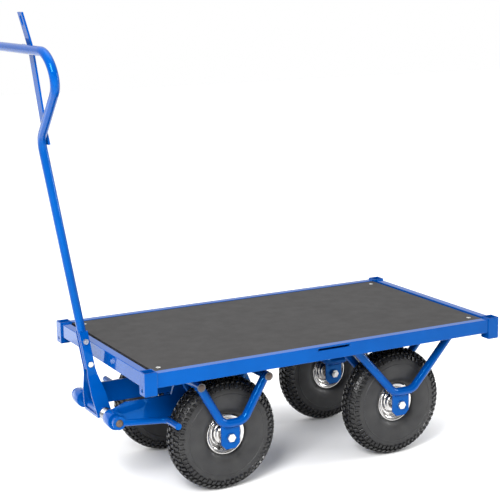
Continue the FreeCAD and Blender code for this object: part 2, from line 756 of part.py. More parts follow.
def tyre(name, placement):
    """The tyre's carcass, with a rounded crown and beads on the rim."""
    outside = [
        ("bead_radius", BEAD_FACE + " - bead_width"),
        ("bead_radius", BEAD_FACE + " - bead_corner"),
        ("bead_radius + bead_corner + bead_clearance", BEAD_FACE),
        ("rim_radius + bead_clearance", BEAD_FACE),
        ("rim_radius + 2 * bead_clearance", "rim_half_width"),
    ] + tyre_points(TYRE_OUTSIDE)
    inside = [("bead_radius + bead_width", BEAD_FACE + " - bead_width")] + tyre_points(TYRE_INSIDE)
    outline = mirrored_outline(outside) + mirrored_outline(inside)[::-1]
    keep(revolved(name, outline, placement), name)


def rim(name, placement):
    """The pressed steel rim with its dished discs and hub tube, welded to one piece."""
    half = [
        ("hub_bore_radius", "hub_half_length"),
        ("hub_radius", "hub_half_length"),
        ("hub_radius", "dish_shoulder_height + hub_weld"),
        ("hub_radius + hub_weld", "dish_shoulder_height"),
        ("dish_shoulder_radius", "dish_shoulder_height"),
        ("dish_floor_inner_radius", "dish_floor_height"),
        ("dish_floor_outer_radius", "dish_floor_height"),
        ("dish_wall_radius", "dish_shoulder_height"),
        ("bead_radius - rim_metal", "rim_half_width - rim_lip"),
        ("rim_radius - rim_lip", "rim_half_width"),
        ("rim_radius", "rim_half_width"),
        ("rim_radius", "rim_half_width - rim_metal"),
        ("bead_radius + bead_corner", "rim_half_width - rim_metal"),
        ("bead_radius", "rim_half_width - rim_metal - bead_corner"),
        ("bead_radius", "rim_half_width - rim_metal - bead_seat_depth"),
        ("dish_floor_outer_radius + rim_metal", "dish_floor_height + rim_metal / 2"),
    ]
    keep(revolved(name, mirrored_outline(half), placement), name)


def bearings(name, placement):
    """Two roller bearings whose long inner sleeves reach to the fork plates."""
    rings = []
    for sign in (1, -1):
        face = "fork_half_gap - axle_plate_thickness / 2 - side_clearance"
        inner_end = "hub_half_length - bearing_length"
        section = (
            ("axle_bolt_radius + bolt_clearance", inner_end),
            ("hub_bore_radius", inner_end),
            ("hub_bore_radius", "hub_half_length"),
            ("bearing_sleeve_radius", "hub_half_length"),
            ("bearing_sleeve_radius", face),
            ("axle_bolt_radius + bolt_clearance", face),
        )
        outline = [(radius, "%d * ( %s )" % (sign, height)) for radius, height in section]
        rings.append(revolved(name + "_ring", outline, placement))
    keep(group(name, rings), name)


def valve(name, placement, angle):
    """The inner tube's valve stem, standing on the dish's floor at an angle round the wheel."""
    stem = doc.addObject("Part::Cylinder", name)
    stem.setExpression("Radius", bound("valve_radius"))
    stem.setExpression("Height", bound("valve_length"))
    out = FreeCAD.Rotation(Z_AXIS, angle).multVec(X_AXIS) * size("valve_place_radius")
    own = FreeCAD.Placement(out + Z_AXIS * size("valve_start"), FreeCAD.Rotation())
    stem.Placement = placement.multiply(own)
    keep(stem, name)


def build_wheels():
    for end in ("front", "rear"):
        valve_angle = size(end + "_valve_angle")
        for side, sign in SIDES:
            placement = wheel_placement(end + "_axle_x", sign)
            suffix = "%s_%s" % (end, side)
            tyre("tyre_" + suffix, placement)
            rim("rim_" + suffix, placement)
            bearings("bearings_" + suffix, placement)
            valve("valve_" + suffix, placement, sign * valve_angle)


# ---------------------------------------------------------------- drawbar and brake

def drawbar_placement():
    """The drawbar's own frame: origin on the pivot, Z up along the leaning bar."""
    place = FreeCAD.Vector(size("pivot_x"), 0, size("pivot_z"))
    return FreeCAD.Placement(place, FreeCAD.Rotation(Y_AXIS, size("drawbar_lean")))


def drawbar_tube():
    """One tube: straight up, bent out to the near side and back across as the grip."""
    corners = [(0.0, size("drawbar_foot_z")), (0.0, size("drawbar_bend_z")),
               (size("grip_corner_y"), size("grip_z")), (size("grip_end_y"), size("grip_z"))]
    radii = [size("drawbar_bend_radius"), size("grip_bend_radius")]
    tube = bent_tube("drawbar_tube_bend", "YZ_Plane", corners, radii, "fork_tube_radius", "tube_wall")
    holes = foot_bolt_holes("drawbar_tube")
    whole = cut("drawbar_tube", tube, holes)
    whole.Placement = drawbar_placement()
    keep(whole, "drawbar_tube")


def foot_bolt_holes(name):
    """The two cross holes for the foot's bolts, in the drawbar's own frame."""
    holes = []
    for height in ("foot_bolt_low_z", "foot_bolt_high_z"):
        holes.append(cylinder(name + "_hole", "foot_bolt_radius", ("0", "-1 * foot_half_spread", height),
                              "2 * foot_half_spread", Y_AXIS))
    return holes


def tow_bar():
    """The flat bar behind the tube: welded low, kinked at the grip, slotted at the tip."""
    front = "-1 * fork_tube_radius"
    back = front + " - tow_bar_thickness"
    kink = " - tow_bar_kink_back"
    bar = padded("tow_bar_strip", "XZ_Plane", [
        (back, "tow_bar_start_z"),
        (front, "tow_bar_start_z"),
        (front, "tow_bar_start_z + tow_bar_width"),
        (front + kink, "tow_bar_kink_z"),
        (front + " - tow_bar_tip_back", "tow_bar_tip_z"),
        (back + " - tow_bar_tip_back", "tow_bar_tip_z"),
        (back + kink, "tow_bar_kink_z"),
        (back, "tow_bar_start_z + tow_bar_width"),
    ], "tow_bar_width")
    lug = box("tow_bar_lug",
              (front + kink + " - tow_bar_thickness / 4", "tow_bar_width / -4", "grip_z - tow_bar_thickness"),
              (front, "tow_bar_width / 4", "grip_z + tow_bar_thickness"))
    slot_low = "tow_bar_tip_z - tow_slot_edge - tow_slot_length + tow_slot_radius"
    slot_rise = "( tow_slot_length - 2 * tow_slot_radius )"
    slot_back = back + " - tow_bar_width"
    slot_depth = "2 * tow_bar_width"
    slot_parts = [
        cylinder("tow_slot_low", "tow_slot_radius", (slot_back, "0", slot_low), slot_depth, X_AXIS),
        cylinder("tow_slot_high", "tow_slot_radius", (slot_back, "0", slot_low + " + " + slot_rise),
                 slot_depth, X_AXIS),
        box("tow_slot_middle", (slot_back, "-1 * tow_slot_radius", slot_low),
            (slot_back + " + " + slot_depth, "tow_slot_radius", slot_low + " + " + slot_rise)),
    ]
    grip_space = cylinder("tow_bar_grip_space", "fork_tube_radius", ("0", "-1 * tow_bar_width", "grip_z"),
                          "2 * tow_bar_width", Y_AXIS)
    whole = cut("tow_bar", fuse("tow_bar_welded", [bar, lug]), slot_parts + [grip_space])
    whole.Placement = drawbar_placement()
    keep(whole, "tow_bar")


def drawbar_foot():
    """Two folded plates that straddle the tube, spread to a pivot tube on the shaft."""
    inner = "fork_tube_radius"
    outer = inner + " + foot_plate"
    parts = []
    for side, sign in SIDES:
        parts.append(padded("foot_side_%s" % side, "YZ_Plane", [
            ("%d * ( %s )" % (sign, inner), "foot_top_z"),
            ("%d * ( %s )" % (sign, outer), "foot_top_z"),
            ("%d * ( %s )" % (sign, outer), "foot_neck_z"),
            ("%d * foot_half_spread" % sign, "foot_tube_radius / 2"),
            ("%d * foot_half_spread" % sign, "-1 * foot_lip_drop"),
            ("%d * ( foot_half_spread - foot_plate )" % sign, "-1 * foot_lip_drop"),
            ("%d * ( foot_half_spread - foot_plate )" % sign, "foot_tube_radius / 2"),
            ("%d * ( %s )" % (sign, inner), "foot_neck_z"),
        ], "2 * foot_half_width"))
    strip = box("foot_strip", ("foot_half_width - foot_plate", "-1 * foot_half_spread", "-1 * foot_lip_drop"),
                ("foot_half_width", "foot_half_spread", "foot_lip_height - foot_lip_drop"))
    tube = cylinder("foot_tube", "foot_tube_radius", ("0", "-1 * ( foot_half_spread + foot_plate )", "0"),
                    "2 * ( foot_half_spread + foot_plate )", Y_AXIS)
    outline = padded("foot_side_view", "XZ_Plane", [
        ("-1 * fork_tube_radius", "foot_top_z"),
        ("fork_tube_radius", "foot_top_z"),
        ("fork_tube_radius", "drawbar_foot_z"),
        ("foot_half_width", "foot_neck_z / 2"),
        ("foot_half_width", "foot_tube_radius * -1"),
        ("-1 * foot_half_width", "foot_tube_radius * -1"),
        ("-1 * foot_half_width", "foot_neck_z / 2"),
        ("-1 * fork_tube_radius", "drawbar_foot_z"),
    ], "3 * foot_half_spread")
    shaped = doc.addObject("Part::Common", "foot_shaped")
    shaped.Base = fuse("foot_welded", parts + [strip, tube])
    shaped.Tool = outline
    bore = cylinder("foot_bore", "pivot_radius", ("0", "-2 * foot_half_spread", "0"),
                    "4 * foot_half_spread", Y_AXIS)
    whole = cut("drawbar_foot", shaped, foot_bolt_holes("drawbar_foot") + [bore])
    whole.Placement = drawbar_placement()
    keep(whole, "drawbar_foot")


def foot_fasteners():
    """Two cross bolts through the tube and the foot, each with its nut."""
    face = "( fork_tube_radius + foot_plate )"
    solids = []
    for height in ("foot_bolt_low_z", "foot_bolt_high_z"):
        shank = cylinder("foot_bolt_shank", "foot_bolt_radius",
                         ("0", "-1 * %s - foot_nut_height - foot_bolt_end" % face, height),
                         "2 * %s + foot_nut_height + foot_bolt_end + foot_head_height / 2" % face, Y_AXIS)
        head = cylinder("foot_bolt_head", "foot_head_radius", ("0", face, height), "foot_head_height", Y_AXIS)
        nut_block = hexagon("foot_nut_block", "foot_nut_radius", ("0", "-1 * " + face, height),
                            "foot_nut_height", Y_AXIS * -1)
        nut_hole = cylinder("foot_nut_hole", "foot_bolt_radius", ("0", "-1 * " + face, height),
                            "foot_nut_height", Y_AXIS * -1)
        solids += [fuse("foot_bolt", [shank, head]), cut("foot_nut", nut_block, [nut_hole])]
    whole = group("foot_fasteners", solids)
    whole.Placement = drawbar_placement()
    keep(whole, "foot_fasteners")


def pivot_shaft():
    """The shaft that turns in the arms' barrels with the drawbar."""
    shaft = cylinder("pivot_shaft", "pivot_radius", ("pivot_x", "-1 * pivot_reach", "pivot_z"),
                     "2 * pivot_reach", Y_AXIS)
    keep(shaft, "pivot_shaft")
    caps = []
    for side, sign in SIDES:
        caps.append(cylinder("pivot_cap", "pivot_radius", ("pivot_x", "%d * pivot_reach" % sign, "pivot_z"),
                             "tube_cap_height", Y_AXIS * sign))
    keep(group("pivot_caps", caps), "pivot_caps")


def brake_bar(side, sign):
    """A rod from an eye on the shaft, back past the arm and outwards in front of the tyre."""
    name = "brake_bar_%s" % side
    corners = [(size("pivot_x"), sign * size("brake_rod_y")),
               (size("brake_rod_x"), sign * size("brake_rod_bend_y")),
               (size("brake_rod_x"), sign * size("brake_rod_end_y"))]
    rod = bent_tube(name + "_rod", "XY_Plane", corners, [size("brake_rod_bend_radius")], "brake_rod_radius")
    rod.setExpression("Placement.Base.z", bound("brake_rod_z"))
    eye = cylinder(name + "_eye", "brake_eye_radius",
                   ("pivot_x", "%d * brake_rod_y - brake_rod_radius" % sign, "pivot_z"),
                   "2 * brake_rod_radius", Y_AXIS)
    bore = cylinder(name + "_bore", "pivot_radius",
                    ("pivot_x", "%d * brake_rod_y - 2 * brake_rod_radius" % sign, "pivot_z"),
                    "4 * brake_rod_radius", Y_AXIS)
    keep(cut(name, fuse(name + "_welded", [rod, eye]), [bore]), name)


def return_spring():
    """A torsion spring round the shaft, between the foot and the near arm."""
    wire = size("spring_wire_radius")
    coil_radius = size("spring_coil_radius")
    length = size("spring_pitch") * size("spring_turns")
    helix = Part.makeHelix(size("spring_pitch"), length, coil_radius)
    section = Part.Wire(Part.makeCircle(wire, FreeCAD.Vector(coil_radius, 0, 0), Y_AXIS))
    coil = Part.Wire(helix.Edges).makePipeShell([section], True, True)
    leg = Part.makeCylinder(wire, size("spring_leg_length"), FreeCAD.Vector(coil_radius, 0, length), Y_AXIS)
    item = doc.addObject("Part::Feature", "return_spring")
    item.Shape = coil.fuse(leg)
    turn = FreeCAD.Rotation(Z_AXIS, Y_AXIS).multiply(FreeCAD.Rotation(Z_AXIS, 90.0))
    place = FreeCAD.Vector(size("pivot_x"), size("spring_start_y"), size("pivot_z"))
    item.Placement = FreeCAD.Placement(place, turn)
    keep(item, "return_spring")


def build_drawbar():
    drawbar_tube()
    tow_bar()
    drawbar_foot()
    foot_fasteners()
    pivot_shaft()
    for side, sign in SIDES:
        brake_bar(side, sign)
    return_spring()


def check_model():
    """Stop with a plain message if any object failed or any piece isn't a valid solid."""
    for item in doc.Objects:
        if "Invalid" in item.State or "Error" in item.State:
            raise RuntimeError("%s failed: %s" % (item.Name, item.State))
    for item in nodes:
        if item.Shape.isNull() or not item.Shape.isValid() or not item.Shape.Solids:
            raise RuntimeError("%s has no valid solid" % item.Label)


def write_nodes():
    os.makedirs("parts", exist_ok=True)
    for item in nodes:
        item.Shape.exportStep(os.path.join("parts", item.Label + ".step"))
        print("%-28s solids %d  volume %.0f" % (item.Label, len(item.Shape.Solids), item.Shape.Volume))


build_frame()
build_forks()
build_bogie()
build_wheels()
build_drawbar()
doc.recompute()
check_model()
write_nodes()
print("nodes:", len(nodes))
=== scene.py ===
"""Looks for the platform trolley: materials, wheels, caps, screws, welds, floor, light and camera.

Metres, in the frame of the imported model: +X towards the drawbar, +Y near side, +Z up, floor at zero.
Profiles and welds are written in millimetres and scaled by MM.
"""

import json
import math
import random

import bmesh
import bpy
from mathutils import Matrix, Vector


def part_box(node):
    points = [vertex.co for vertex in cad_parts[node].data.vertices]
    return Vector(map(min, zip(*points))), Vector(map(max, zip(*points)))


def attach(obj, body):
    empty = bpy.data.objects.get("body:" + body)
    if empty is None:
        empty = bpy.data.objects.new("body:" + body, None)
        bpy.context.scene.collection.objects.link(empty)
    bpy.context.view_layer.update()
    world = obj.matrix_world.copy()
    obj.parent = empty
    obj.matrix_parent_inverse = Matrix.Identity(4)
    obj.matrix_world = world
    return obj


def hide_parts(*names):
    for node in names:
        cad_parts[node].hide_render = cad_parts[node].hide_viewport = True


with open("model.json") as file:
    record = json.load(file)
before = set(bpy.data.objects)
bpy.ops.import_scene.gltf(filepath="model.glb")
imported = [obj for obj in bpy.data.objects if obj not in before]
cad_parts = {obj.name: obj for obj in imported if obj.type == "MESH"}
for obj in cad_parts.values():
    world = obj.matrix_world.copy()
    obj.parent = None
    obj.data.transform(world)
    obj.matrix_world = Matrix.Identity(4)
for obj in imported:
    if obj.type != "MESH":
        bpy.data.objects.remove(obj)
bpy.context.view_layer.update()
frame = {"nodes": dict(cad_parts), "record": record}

MM = 0.001
X_AXIS = Vector((1, 0, 0))
Y_AXIS = Vector((0, 1, 0))
Z_AXIS = Vector((0, 0, 1))
SIDES = (("near", 1), ("far", -1))
ENDS = ("front", "rear")
BOTH_WAYS = (1, -1)
FULL_TURN = 2 * math.pi


# ---------------------------------------------------------------- camera, floor and light

CAMERA_AIM = Vector((0.0845, 0.0, 0.690))
CAMERA_DISTANCE = 4.275
CAMERA_AZIMUTH = 151.48
CAMERA_ELEVATION = 11.42
CAMERA_ROLL = -0.63
CAMERA_LENS = 96.2
CAMERA_SHIFT = (-0.0069, -0.0033)


def direction(azimuth, elevation):
    """The unit vector from the object towards a viewer at these angles in degrees."""
    round_z = math.radians(azimuth)
    rise = math.radians(elevation)
    return Vector((math.sin(round_z) * math.cos(rise), -math.cos(round_z) * math.cos(rise), math.sin(rise)))


def place_camera():
    """The camera of the main view, which looks at CAMERA_AIM."""
    data = bpy.data.cameras.new("camera")
    data.lens = CAMERA_LENS
    data.shift_x, data.shift_y = CAMERA_SHIFT
    camera = bpy.data.objects.new("camera", data)
    towards = direction(CAMERA_AZIMUTH, CAMERA_ELEVATION)
    turn = (-towards).to_track_quat("-Z", "Y").to_matrix().to_4x4()
    place = Matrix.Translation(CAMERA_AIM + towards * CAMERA_DISTANCE)
    camera.matrix_world = place @ turn @ Matrix.Rotation(math.radians(CAMERA_ROLL), 4, "Z")
    bpy.context.scene.collection.objects.link(camera)
    bpy.context.scene.camera = camera


def softbox(name, azimuth, elevation, distance, width, height, power, aim):
    """A rectangular area light that faces its aim and isn't seen by the camera."""
    data = bpy.data.lights.new(name, "AREA")
    data.shape = "RECTANGLE"
    data.size, data.size_y = width, height
    data.energy = power
    lamp = bpy.data.objects.new(name, data)
    towards = direction(azimuth, elevation)
    lamp.location = aim + towards * distance
    lamp.rotation_euler = towards.to_track_quat("Z", "Y").to_euler()
    lamp.visible_camera = False
    bpy.context.scene.collection.objects.link(lamp)


# strength of the room's light from each side and from above
ROOM_NEAR = 0.12
ROOM_FAR = 0.80
ROOM_OVERHEAD = 1.7
ROOM_BLEND = 0.9
OVERHEAD_POWER = 2.0
WHITE = (1.0, 1.0, 1.0, 1.0)


def world_math(tree, operation, first, second):
    """A maths node that works on a socket and a number."""
    node = tree.nodes.new("ShaderNodeMath")
    node.operation = operation
    tree.links.new(first, node.inputs[0])
    node.inputs[1].default_value = second
    return node


def room_strength(tree):
    """The room's brightness by direction: brighter on the far side, and with the square of height."""
    towards = tree.nodes.new("ShaderNodeTexCoord")
    split = tree.nodes.new("ShaderNodeSeparateXYZ")
    shade = tree.nodes.new("ShaderNodeMapRange")
    shade.inputs["From Min"].default_value = ROOM_BLEND
    shade.inputs["From Max"].default_value = -ROOM_BLEND
    shade.inputs["To Min"].default_value = ROOM_NEAR
    shade.inputs["To Max"].default_value = ROOM_FAR
    tree.links.new(towards.outputs["Generated"], split.inputs["Vector"])
    tree.links.new(split.outputs["Y"], shade.inputs["Value"])
    above = world_math(tree, "MAXIMUM", split.outputs["Z"], 0.0)
    overhead = world_math(tree, "POWER", above.outputs["Value"], OVERHEAD_POWER)
    strength = world_math(tree, "MULTIPLY_ADD", overhead.outputs["Value"], ROOM_OVERHEAD)
    tree.links.new(shade.outputs["Result"], strength.inputs[2])
    return strength.outputs["Value"]


def light_world():
    """A white backdrop for the camera, and a grey room for every other ray."""
    world = bpy.data.worlds.new("studio")
    world.use_nodes = True
    tree = world.node_tree
    backdrop = tree.nodes["Background"]
    backdrop.inputs["Color"].default_value = WHITE
    room = tree.nodes.new("ShaderNodeBackground")
    room.inputs["Color"].default_value = WHITE
    tree.links.new(room_strength(tree), room.inputs["Strength"])
    rays = tree.nodes.new("ShaderNodeLightPath")
    mix = tree.nodes.new("ShaderNodeMixShader")
    tree.links.new(rays.outputs["Is Camera Ray"], mix.inputs["Fac"])
    tree.links.new(room.outputs["Background"], mix.inputs[1])
    tree.links.new(backdrop.outputs["Background"], mix.inputs[2])
    tree.links.new(mix.outputs["Shader"], tree.nodes["World Output"].inputs["Surface"])
    bpy.context.scene.world = world


LOW_PANEL_AIM = Vector((0.60, 0.0, 0.42))
SOFTBOXES = (
    # name, azimuth, elevation, distance, width, height, power, aim
    ("softbox_key", 136, 27, 3.2, 1.1, 1.5, 150, CAMERA_AIM),
    ("softbox_side", 246, 9, 3.2, 0.8, 1.2, 40, CAMERA_AIM),
    ("softbox_top", 150, 82, 3.0, 2.6, 2.0, 34, CAMERA_AIM),
    ("panel_behind", 28.5, -8, 1.75, 1.5, 0.8, 5, LOW_PANEL_AIM),
)


def light_studio():
    """The world, the softboxes and a plain view transform."""
    light_world()
    for settings in SOFTBOXES:
        softbox(*settings)
    bpy.context.scene.view_settings.view_transform = "Standard"


# ---------------------------------------------------------------- materials

PATTERN_LOW = 0.3
PATTERN_HIGH = 0.7


class Surface:
    """One procedural material, built up node by node on object coordinates."""

    def __init__(self, name, **sockets):
        self.material = bpy.data.materials.new(name)
        self.material.use_nodes = True
        self.nodes = self.material.node_tree.nodes
        self.links = self.material.node_tree.links
        self.shader = self.nodes["Principled BSDF"]
        for socket, value in sockets.items():
            self.shader.inputs[socket.replace("_", " ")].default_value = value
        self.place = self.nodes.new("ShaderNodeTexCoord").outputs["Object"]

    def noise(self, scale, detail):
        """Soft clouds; detail adds finer ones."""
        node = self.nodes.new("ShaderNodeTexNoise")
        node.inputs["Scale"].default_value = scale
        node.inputs["Detail"].default_value = detail
        self.links.new(self.place, node.inputs["Vector"])
        return node.outputs["Fac"]

    def cells(self, scale):
        """Small cells that fade from their middle."""
        node = self.nodes.new("ShaderNodeTexVoronoi")
        node.inputs["Scale"].default_value = scale
        self.links.new(self.place, node.inputs["Vector"])
        return node.outputs["Distance"]

    def rings(self, scale, distortion):
        """Concentric rings about the piece's own Z axis."""
        node = self.nodes.new("ShaderNodeTexWave")
        node.wave_type = "RINGS"
        node.rings_direction = "Z"
        node.inputs["Scale"].default_value = scale
        node.inputs["Distortion"].default_value = distortion
        self.links.new(self.place, node.inputs["Vector"])
        return node.outputs["Fac"]

    def bands(self, scale, axis):
        """Straight bands across one axis."""
        node = self.nodes.new("ShaderNodeTexWave")
        node.bands_direction = axis
        node.inputs["Scale"].default_value = scale
        self.links.new(self.place, node.inputs["Vector"])
        return node.outputs["Fac"]

    def spread(self, pattern, low, high):
        """Map a pattern's middle range onto low to high."""
        node = self.nodes.new("ShaderNodeMapRange")
        node.inputs["From Min"].default_value = PATTERN_LOW
        node.inputs["From Max"].default_value = PATTERN_HIGH
        node.inputs["To Min"].default_value = low
        node.inputs["To Max"].default_value = high
        self.links.new(pattern, node.inputs["Value"])
        return node.outputs["Result"]

    def combine(self, first, second, operation):
        """Two patterns joined by a maths operation."""
        node = self.nodes.new("ShaderNodeMath")
        node.operation = operation
        self.links.new(first, node.inputs[0])
        self.links.new(second, node.inputs[1])
        return node.outputs["Value"]

    def colours(self, pattern, stops):
        """Colour the surface by a pattern, through stops of (position, colour)."""
        node = self.nodes.new("ShaderNodeValToRGB")
        ramp = node.color_ramp
        while len(ramp.elements) < len(stops):
            ramp.elements.new(0.5)
        for element, (position, colour) in zip(ramp.elements, stops):
            element.position = position
            element.color = (*colour, 1.0)
        self.links.new(pattern, node.inputs["Fac"])
        self.links.new(node.outputs["Color"], self.shader.inputs["Base Color"])

    def roughness(self, pattern, low, high):
        """Let a pattern vary the roughness between low and high."""
        self.links.new(self.spread(pattern, low, high), self.shader.inputs["Roughness"])

    def bump(self, height, distance, strength):
        """Raise the surface by a pattern, up to a distance in metres."""
        node = self.nodes.new("ShaderNodeBump")
        node.inputs["Distance"].default_value = distance
        node.inputs["Strength"].default_value = strength
        self.links.new(height, node.inputs["Height"])
        self.links.new(node.outputs["Normal"], self.shader.inputs["Normal"])


def blue_paint():
    """Glossy powder coat: slow colour drift and a faint orange peel."""
    paint = Surface("blue_paint", Specular_IOR_Level=0.50, Specular_Tint=(0.08, 0.45, 1.0, 1.0))
    drift = paint.noise(scale=7.0, detail=3.0)
    paint.colours(drift, [(0.35, (0.0, 0.043, 0.215)), (0.65, (0.0, 0.052, 0.250))])
    paint.roughness(paint.noise(scale=45.0, detail=3.0), low=0.05, high=0.09)
    paint.bump(paint.noise(scale=260.0, detail=1.0), distance=0.0002, strength=0.14)
    return paint.material


def deck_film():
    """Dark phenolic film with a fine woven grip pattern and slight mottling."""
    film = Surface("deck_film", Specular_IOR_Level=0.20)
    clouds = film.noise(scale=5.0, detail=5.0)
    specks = film.noise(scale=180.0, detail=3.0)
    mottle = film.combine(clouds, specks, "MULTIPLY")
    film.colours(mottle, [(0.14, (0.017, 0.016, 0.016)), (0.36, (0.022, 0.021, 0.021))])
    film.roughness(film.noise(scale=24.0, detail=4.0), low=0.52, high=0.60)
    weave = film.combine(film.bands(scale=62.0, axis="X"), film.bands(scale=62.0, axis="Y"), "MAXIMUM")
    grain = film.combine(weave, film.noise(scale=700.0, detail=2.0), "ADD")
    film.bump(grain, distance=0.0002, strength=0.25)
    return film.material


def tyre_rubber(name, dark, light, smooth, rough):
    """Black rubber with slightly lighter patches and a fine cast grain."""
    rubber = Surface(name, Specular_IOR_Level=0.42)
    rubber.colours(rubber.noise(scale=22.0, detail=6.0), [(0.32, dark), (0.7, light)])
    rubber.roughness(rubber.noise(scale=90.0, detail=4.0), low=smooth, high=rough)
    grain = rubber.combine(rubber.noise(scale=700.0, detail=3.0), rubber.cells(scale=420.0), "ADD")
    rubber.bump(grain, distance=0.0004, strength=0.3)
    return rubber.material


def rim_steel():
    """Bright zinc plate with turning marks and slight clouding."""
    steel = Surface("rim_steel", Metallic=1.0)
    clouds = steel.noise(scale=40.0, detail=5.0)
    steel.colours(clouds, [(0.35, (0.44, 0.43, 0.42)), (0.65, (0.66, 0.65, 0.64))])
    steel.roughness(steel.noise(scale=75.0, detail=4.0), low=0.16, high=0.27)
    steel.bump(steel.rings(scale=320.0, distortion=2.0), distance=0.00005, strength=0.4)
    return steel.material


def zinc_steel():
    """Zinc-plated fasteners and bearings: spangled, a little warm."""
    steel = Surface("zinc_steel", Metallic=1.0)
    steel.colours(steel.cells(scale=260.0), [(0.0, (0.42, 0.42, 0.41)), (0.6, (0.62, 0.62, 0.60))])
    steel.roughness(steel.noise(scale=240.0, detail=4.0), low=0.24, high=0.42)
    steel.bump(steel.noise(scale=600.0, detail=3.0), distance=0.0001, strength=0.3)
    return steel.material


def spring_steel():
    """Drawn wire with light and dark patches and a fine grain."""
    wire = Surface("spring_steel", Metallic=1.0)
    clouds = wire.noise(scale=120.0, detail=4.0)
    wire.colours(clouds, [(0.3, (0.20, 0.21, 0.23)), (0.7, (0.42, 0.43, 0.45))])
    wire.roughness(wire.noise(scale=300.0, detail=3.0), low=0.22, high=0.36)
    wire.bump(wire.noise(scale=1500.0, detail=2.0), distance=0.0001, strength=0.3)
    return wire.material


def moulded_plastic(name, dark, light):
    """Moulded plastic with a fine eroded grain and slight colour clouds."""
    plastic = Surface(name)
    plastic.colours(plastic.noise(scale=90.0, detail=5.0), [(0.3, dark), (0.7, light)])
    plastic.roughness(plastic.noise(scale=160.0, detail=4.0), low=0.38, high=0.55)
    plastic.bump(plastic.noise(scale=1300.0, detail=2.0), distance=0.0001, strength=0.4)
    return plastic.material


def studio_floor():
    """Pale painted floor with barely visible clouds."""
    floor = Surface("studio_floor")
    clouds = floor.noise(scale=1.6, detail=4.0)
    floor.colours(clouds, [(0.3, (0.90, 0.90, 0.90)), (0.7, (0.94, 0.94, 0.94))])
    floor.roughness(floor.noise(scale=6.0, detail=4.0), low=0.55, high=0.7)
    floor.bump(floor.noise(scale=300.0, detail=2.0), distance=0.0001, strength=0.2)
    return floor.material


PAINT = blue_paint()
FILM = deck_film()
RUBBER = tyre_rubber("tyre_rubber", (0.010, 0.010, 0.011), (0.023, 0.023, 0.023), 0.36, 0.56)
# painted shade: the tread blocks are the same rubber as the carcass, painted several times darker to stand
# in for the shade between the blocks
TREAD_PAINTED_SHADE = tyre_rubber("tread_rubber_painted_shade", (0.003, 0.003, 0.004), (0.009, 0.009, 0.009), 0.22, 0.36)
RIM = rim_steel()
ZINC = zinc_steel()
SPRING = spring_steel()
BLACK = moulded_plastic("black_plastic", (0.018, 0.018, 0.019), (0.04, 0.04, 0.041))
BROWN = moulded_plastic("brown_plastic", (0.060, 0.036, 0.024), (0.100, 0.064, 0.044))
GREY = moulded_plastic("grey_plastic", (0.070, 0.072, 0.080), (0.120, 0.122, 0.130))

NODE_MATERIALS = {
    "blue_paint": PAINT,
    "deck_board": FILM,
    "tyre_rubber": RUBBER,
    "rim_steel": RIM,
    "zinc_steel": ZINC,
    "black_plastic": BLACK,
    "brown_plastic": BROWN,
    "spring_steel": SPRING,
}


def coat_cad_nodes():
    """Give every CAD node the material of its slot in the record."""
    for subpart in frame["record"]["subparts"]:
        node = frame["nodes"][subpart["node"]]
        if not node.material_slots:
            node.data.materials.append(None)
        for slot in node.material_slots:
            slot.material = NODE_MATERIALS[subpart["material_slot"]]


# the radius in millimetres of the rounded edges, by a part of the node's name
BEVELS = {
    "side_rail": 2.6,
    "end_rail": 2.6,
    "corner_socket": 2.2,
    "cross_member": 2.0,
    "tow_bar": 0.9,
    "steering_arm": 0.9,
    "drawbar_foot": 0.7,
    "turntable": 0.8,
    "kingpin": 1.2,
    "axle_fasteners": 0.9,
    "foot_fasteners": 0.8,
    "bearings": 0.5,
}
BEVEL_SEGMENTS = 3
BEVEL_ANGLE = math.radians(40)
# corners closer than this many millimetres are joined first
SAME_POINT = 0.01


def round_cad_edges():
    """Round the sharp edges of the CAD nodes that BEVELS names, by modifiers alone."""
    for name, node in frame["nodes"].items():
        for part, radius in BEVELS.items():
            if part in name:
                joined = node.modifiers.new("joined", "WELD")
                joined.merge_threshold = SAME_POINT * MM
                bevel = node.modifiers.new("rounded", "BEVEL")
                bevel.width = radius * MM
                bevel.segments = BEVEL_SEGMENTS
                bevel.limit_method = "ANGLE"
                bevel.angle_limit = BEVEL_ANGLE
                bevel.harden_normals = True


# ---------------------------------------------------------------- making pieces

def add_piece(name, mesh, body, materials, place=Matrix.Identity(4), replaced=()):
    """Put a new mesh on its body, in place of the CAD nodes it stands for."""
    piece = bpy.data.objects.new(name, mesh)
    piece.matrix_world = place
    bpy.context.scene.collection.objects.link(piece)
    if not mesh.materials:
        for material in materials:
            mesh.materials.append(material)
    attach(piece, body)
    if replaced:
        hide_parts(*replaced)


def finish_mesh(name, build, smooth_angle=35.0):
    """Turn a bmesh into a mesh with outward normals, smooth up to an angle."""
    bmesh.ops.recalc_face_normals(build, faces=build.faces)
    mesh = bpy.data.meshes.new(name)
    build.to_mesh(mesh)
    build.free()
    mesh.shade_smooth()
    mesh.set_sharp_from_angle(angle=math.radians(smooth_angle))
    return mesh


ON_AXIS = 1e-6


def turn_profile(build, profile, segments, closed=True, place=Matrix.Identity(4), material=0):
    """Revolve (radius, height) points in millimetres about Z; a point on the axis stays one vertex."""
    rings = []
    for radius, height in profile:
        if radius < ON_AXIS:
            rings.append([build.verts.new(place @ Vector((0, 0, height * MM)))])
            continue
        ring = []
        for step in range(segments):
            angle = FULL_TURN * step / segments
            spot = Vector((radius * math.cos(angle), radius * math.sin(angle), height)) * MM
            ring.append(build.verts.new(place @ spot))
        rings.append(ring)
    pairs = list(zip(rings, rings[1:]))
    if closed:
        pairs.append((rings[-1], rings[0]))
    for low, high in pairs:
        for step in range(segments):
            following = (step + 1) % segments
            corners = [low[step % len(low)], low[following % len(low)],
                       high[following % len(high)], high[step % len(high)]]
            face = build.faces.new(list(dict.fromkeys(corners)))
            face.material_index = material


def mirrored(half):
    """A closed profile from the points on its positive side."""
    return half + [(radius, -height) for radius, height in reversed(half)]


